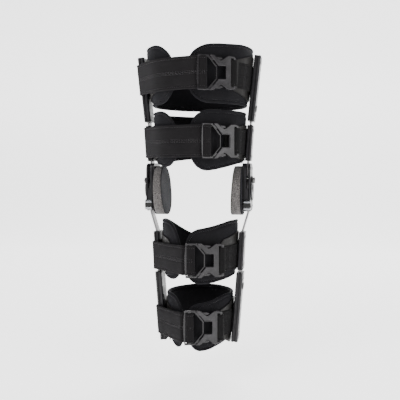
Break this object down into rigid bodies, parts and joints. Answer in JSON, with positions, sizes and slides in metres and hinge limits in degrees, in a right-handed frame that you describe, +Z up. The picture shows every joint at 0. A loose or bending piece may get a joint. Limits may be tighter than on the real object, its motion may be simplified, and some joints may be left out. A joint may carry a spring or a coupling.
{
  "type": "hinged knee brace",
  "caption": "Telescoping hinged knee brace with padded thigh and calf cuffs, dial-stop hinges, gray condyle pads and release buckles.",
  "frame": {"origin": "knee centre: on the knee axis, midway between the two hinge pivots", "axes": "+X towards the right upright as seen from the front, which carries the buckles; -Y towards the front of the leg; +Z up the thigh"},
  "size_m": [0.2266, 0.1957, 0.533],
  "materials": {
    "shell": "black moulded plastic, faint grain",
    "cover": "dark gray satin plastic",
    "metal": "brushed flat bar, bare edges",
    "latch": "bright plated metal",
    "stop": "gray satin plastic",
    "foam": "heather gray laminated foam",
    "wing": "semi-rigid gray-black sheet plastic",
    "pad": "black fabric laminated to foam, bound edge",
    "strap": "black brushed loop strap, stitched hems",
    "buckle": "satin black acetal, bright edges"
  },
  "bodies": {
    "thigh_frame": {"left_hinge_housing": "shell", "left_hinge_cover": "cover", "left_hinge_dial": "shell", "left_pivot_pin": "metal", "left_thigh_bar": "metal", "left_thigh_bracket": "shell", "left_thigh_lower_wing": "wing", "left_condyle_pad": "foam", "right_hinge_housing": "shell", "right_hinge_cover": "cover", "right_hinge_dial": "shell", "right_pivot_pin": "metal", "right_thigh_bar": "metal", "right_thigh_bracket": "shell", "right_thigh_lower_wing": "wing", "right_condyle_pad": "foam", "thigh_lower_pad": "pad", "thigh_lower_strap": "strap", "thigh_lower_webbing": "strap", "thigh_lower_buckle_female": "buckle"},
    "calf_frame": {"left_calf_bar": "metal", "left_calf_bracket": "shell", "left_calf_upper_wing": "wing", "right_calf_bar": "metal", "right_calf_bracket": "shell", "right_calf_upper_wing": "wing", "calf_upper_pad": "pad", "calf_upper_strap": "strap", "calf_upper_webbing": "strap", "calf_upper_buckle_female": "buckle"},
    "left_thigh_slider": {"left_thigh_channel": "shell", "left_thigh_upper_wing": "wing", "thigh_upper_pad": "pad", "thigh_upper_strap": "strap"},
    "right_thigh_slider": {"right_thigh_channel": "shell", "right_thigh_upper_wing": "wing", "thigh_upper_webbing": "strap", "thigh_upper_buckle_female": "buckle"},
    "left_calf_slider": {"left_calf_channel": "shell", "left_calf_lower_wing": "wing", "calf_lower_pad": "pad", "calf_lower_strap": "strap"},
    "right_calf_slider": {"right_calf_channel": "shell", "right_calf_lower_wing": "wing", "calf_lower_webbing": "strap", "calf_lower_buckle_female": "buckle"},
    "left_extension_stop": {"left_extension_stop": "stop"},
    "left_flexion_stop": {"left_flexion_stop": "stop"},
    "left_lock": {"left_lock_slide": "latch"},
    "left_thigh_button": {"left_thigh_channel_button": "stop"},
    "left_calf_button": {"left_calf_channel_button": "stop"},
    "right_extension_stop": {"right_extension_stop": "stop"},
    "right_flexion_stop": {"right_flexion_stop": "stop"},
    "right_lock": {"right_lock_slide": "latch"},
    "right_thigh_button": {"right_thigh_channel_button": "stop"},
    "right_calf_button": {"right_calf_channel_button": "stop"},
    "thigh_upper_buckle_male": {"thigh_upper_buckle_male": "buckle"},
    "thigh_lower_buckle_male": {"thigh_lower_buckle_male": "buckle"},
    "calf_upper_buckle_male": {"calf_upper_buckle_male": "buckle"},
    "calf_lower_buckle_male": {"calf_lower_buckle_male": "buckle"}
  },
  "joints": [
    {"name": "knee_flexion", "type": "hinge", "parent": "thigh_frame", "child": "calf_frame", "pos_m": [0, 0, 0], "axis": [1, 0, 0], "range_deg": [0, 95]},
    {"name": "thigh_cuff_slide", "type": "slide", "parent": "thigh_frame", "child": "left_thigh_slider", "axis": [-0.1105, 0, 0.9939], "range_m": [0, 0.055]},
    {"name": "thigh_cuff_spread", "type": "slide", "parent": "left_thigh_slider", "child": "right_thigh_slider", "axis": [1, 0, 0], "range_m": [0, 0.0125], "deforming": ["thigh_upper_pad", "thigh_upper_strap"]},
    {"name": "calf_cuff_slide", "type": "slide", "parent": "calf_frame", "child": "left_calf_slider", "axis": [0.0804, 0, -0.9968], "range_m": [0, 0.055]},
    {"name": "calf_cuff_spread", "type": "slide", "parent": "left_calf_slider", "child": "right_calf_slider", "axis": [-1, 0, 0], "range_m": [0, 0.0092], "deforming": ["calf_lower_pad", "calf_lower_strap"]},
    {"name": "left_extension_limit", "type": "hinge", "parent": "thigh_frame", "child": "left_extension_stop", "pos_m": [0, 0, 0], "axis": [1, 0, 0], "range_deg": [0, 40]},
    {"name": "left_flexion_limit", "type": "hinge", "parent": "thigh_frame", "child": "left_flexion_stop", "pos_m": [0, 0, 0], "axis": [-1, 0, 0], "range_deg": [0, 90]},
    {"name": "left_lock_travel", "type": "slide", "parent": "thigh_frame", "child": "left_lock", "axis": [0, 0, -1], "range_m": [0, 0.004]},
    {"name": "left_thigh_button_press", "type": "slide", "parent": "left_thigh_slider", "child": "left_thigh_button", "axis": [0.9939, 0, 0.1105], "range_m": [0, 0.0013], "stiffness_N_per_m": 600, "springref_m": -0.001},
    {"name": "left_calf_button_press", "type": "slide", "parent": "left_calf_slider", "child": "left_calf_button", "axis": [0.9968, 0, 0.0804], "range_m": [0, 0.0013], "stiffness_N_per_m": 600, "springref_m": -0.001},
    {"name": "right_extension_limit", "type": "hinge", "parent": "thigh_frame", "child": "right_extension_stop", "pos_m": [0, 0, 0], "axis": [1, 0, 0], "range_deg": [0, 40]},
    {"name": "right_flexion_limit", "type": "hinge", "parent": "thigh_frame", "child": "right_flexion_stop", "pos_m": [0, 0, 0], "axis": [-1, 0, 0], "range_deg": [0, 90]},
    {"name": "right_lock_travel", "type": "slide", "parent": "thigh_frame", "child": "right_lock", "axis": [0, 0, -1], "range_m": [0, 0.004]},
    {"name": "right_thigh_button_press", "type": "slide", "parent": "right_thigh_slider", "child": "right_thigh_button", "axis": [-0.9939, 0, 0.1105], "range_m": [0, 0.0013], "stiffness_N_per_m": 600, "springref_m": -0.001},
    {"name": "right_calf_button_press", "type": "slide", "parent": "right_calf_slider", "child": "right_calf_button", "axis": [-0.9968, 0, 0.0804], "range_m": [0, 0.0013], "stiffness_N_per_m": 600, "springref_m": -0.001},
    {"name": "thigh_upper_buckle_release", "type": "slide", "parent": "right_thigh_slider", "child": "thigh_upper_buckle_male", "axis": [-0.9222, -0.3867, 0], "range_m": [0, 0.024]},
    {"name": "thigh_lower_buckle_release", "type": "slide", "parent": "thigh_frame", "child": "thigh_lower_buckle_male", "axis": [-0.8792, -0.4765, 0], "range_m": [0, 0.024], "deforming": ["thigh_lower_strap"]},
    {"name": "calf_upper_buckle_release", "type": "slide", "parent": "calf_frame", "child": "calf_upper_buckle_male", "axis": [-0.9711, -0.2386, 0], "range_m": [0, 0.024], "deforming": ["calf_upper_strap"]},
    {"name": "calf_lower_buckle_release", "type": "slide", "parent": "right_calf_slider", "child": "calf_lower_buckle_male", "axis": [-0.9734, -0.229, 0], "range_m": [0, 0.024]}
  ],
  "couplings": [
    {"joint": "thigh_cuff_spread", "follows": "thigh_cuff_slide", "ratio": 0.22109},
    {"joint": "calf_cuff_spread", "follows": "calf_cuff_slide", "ratio": 0.1607}
  ]
}
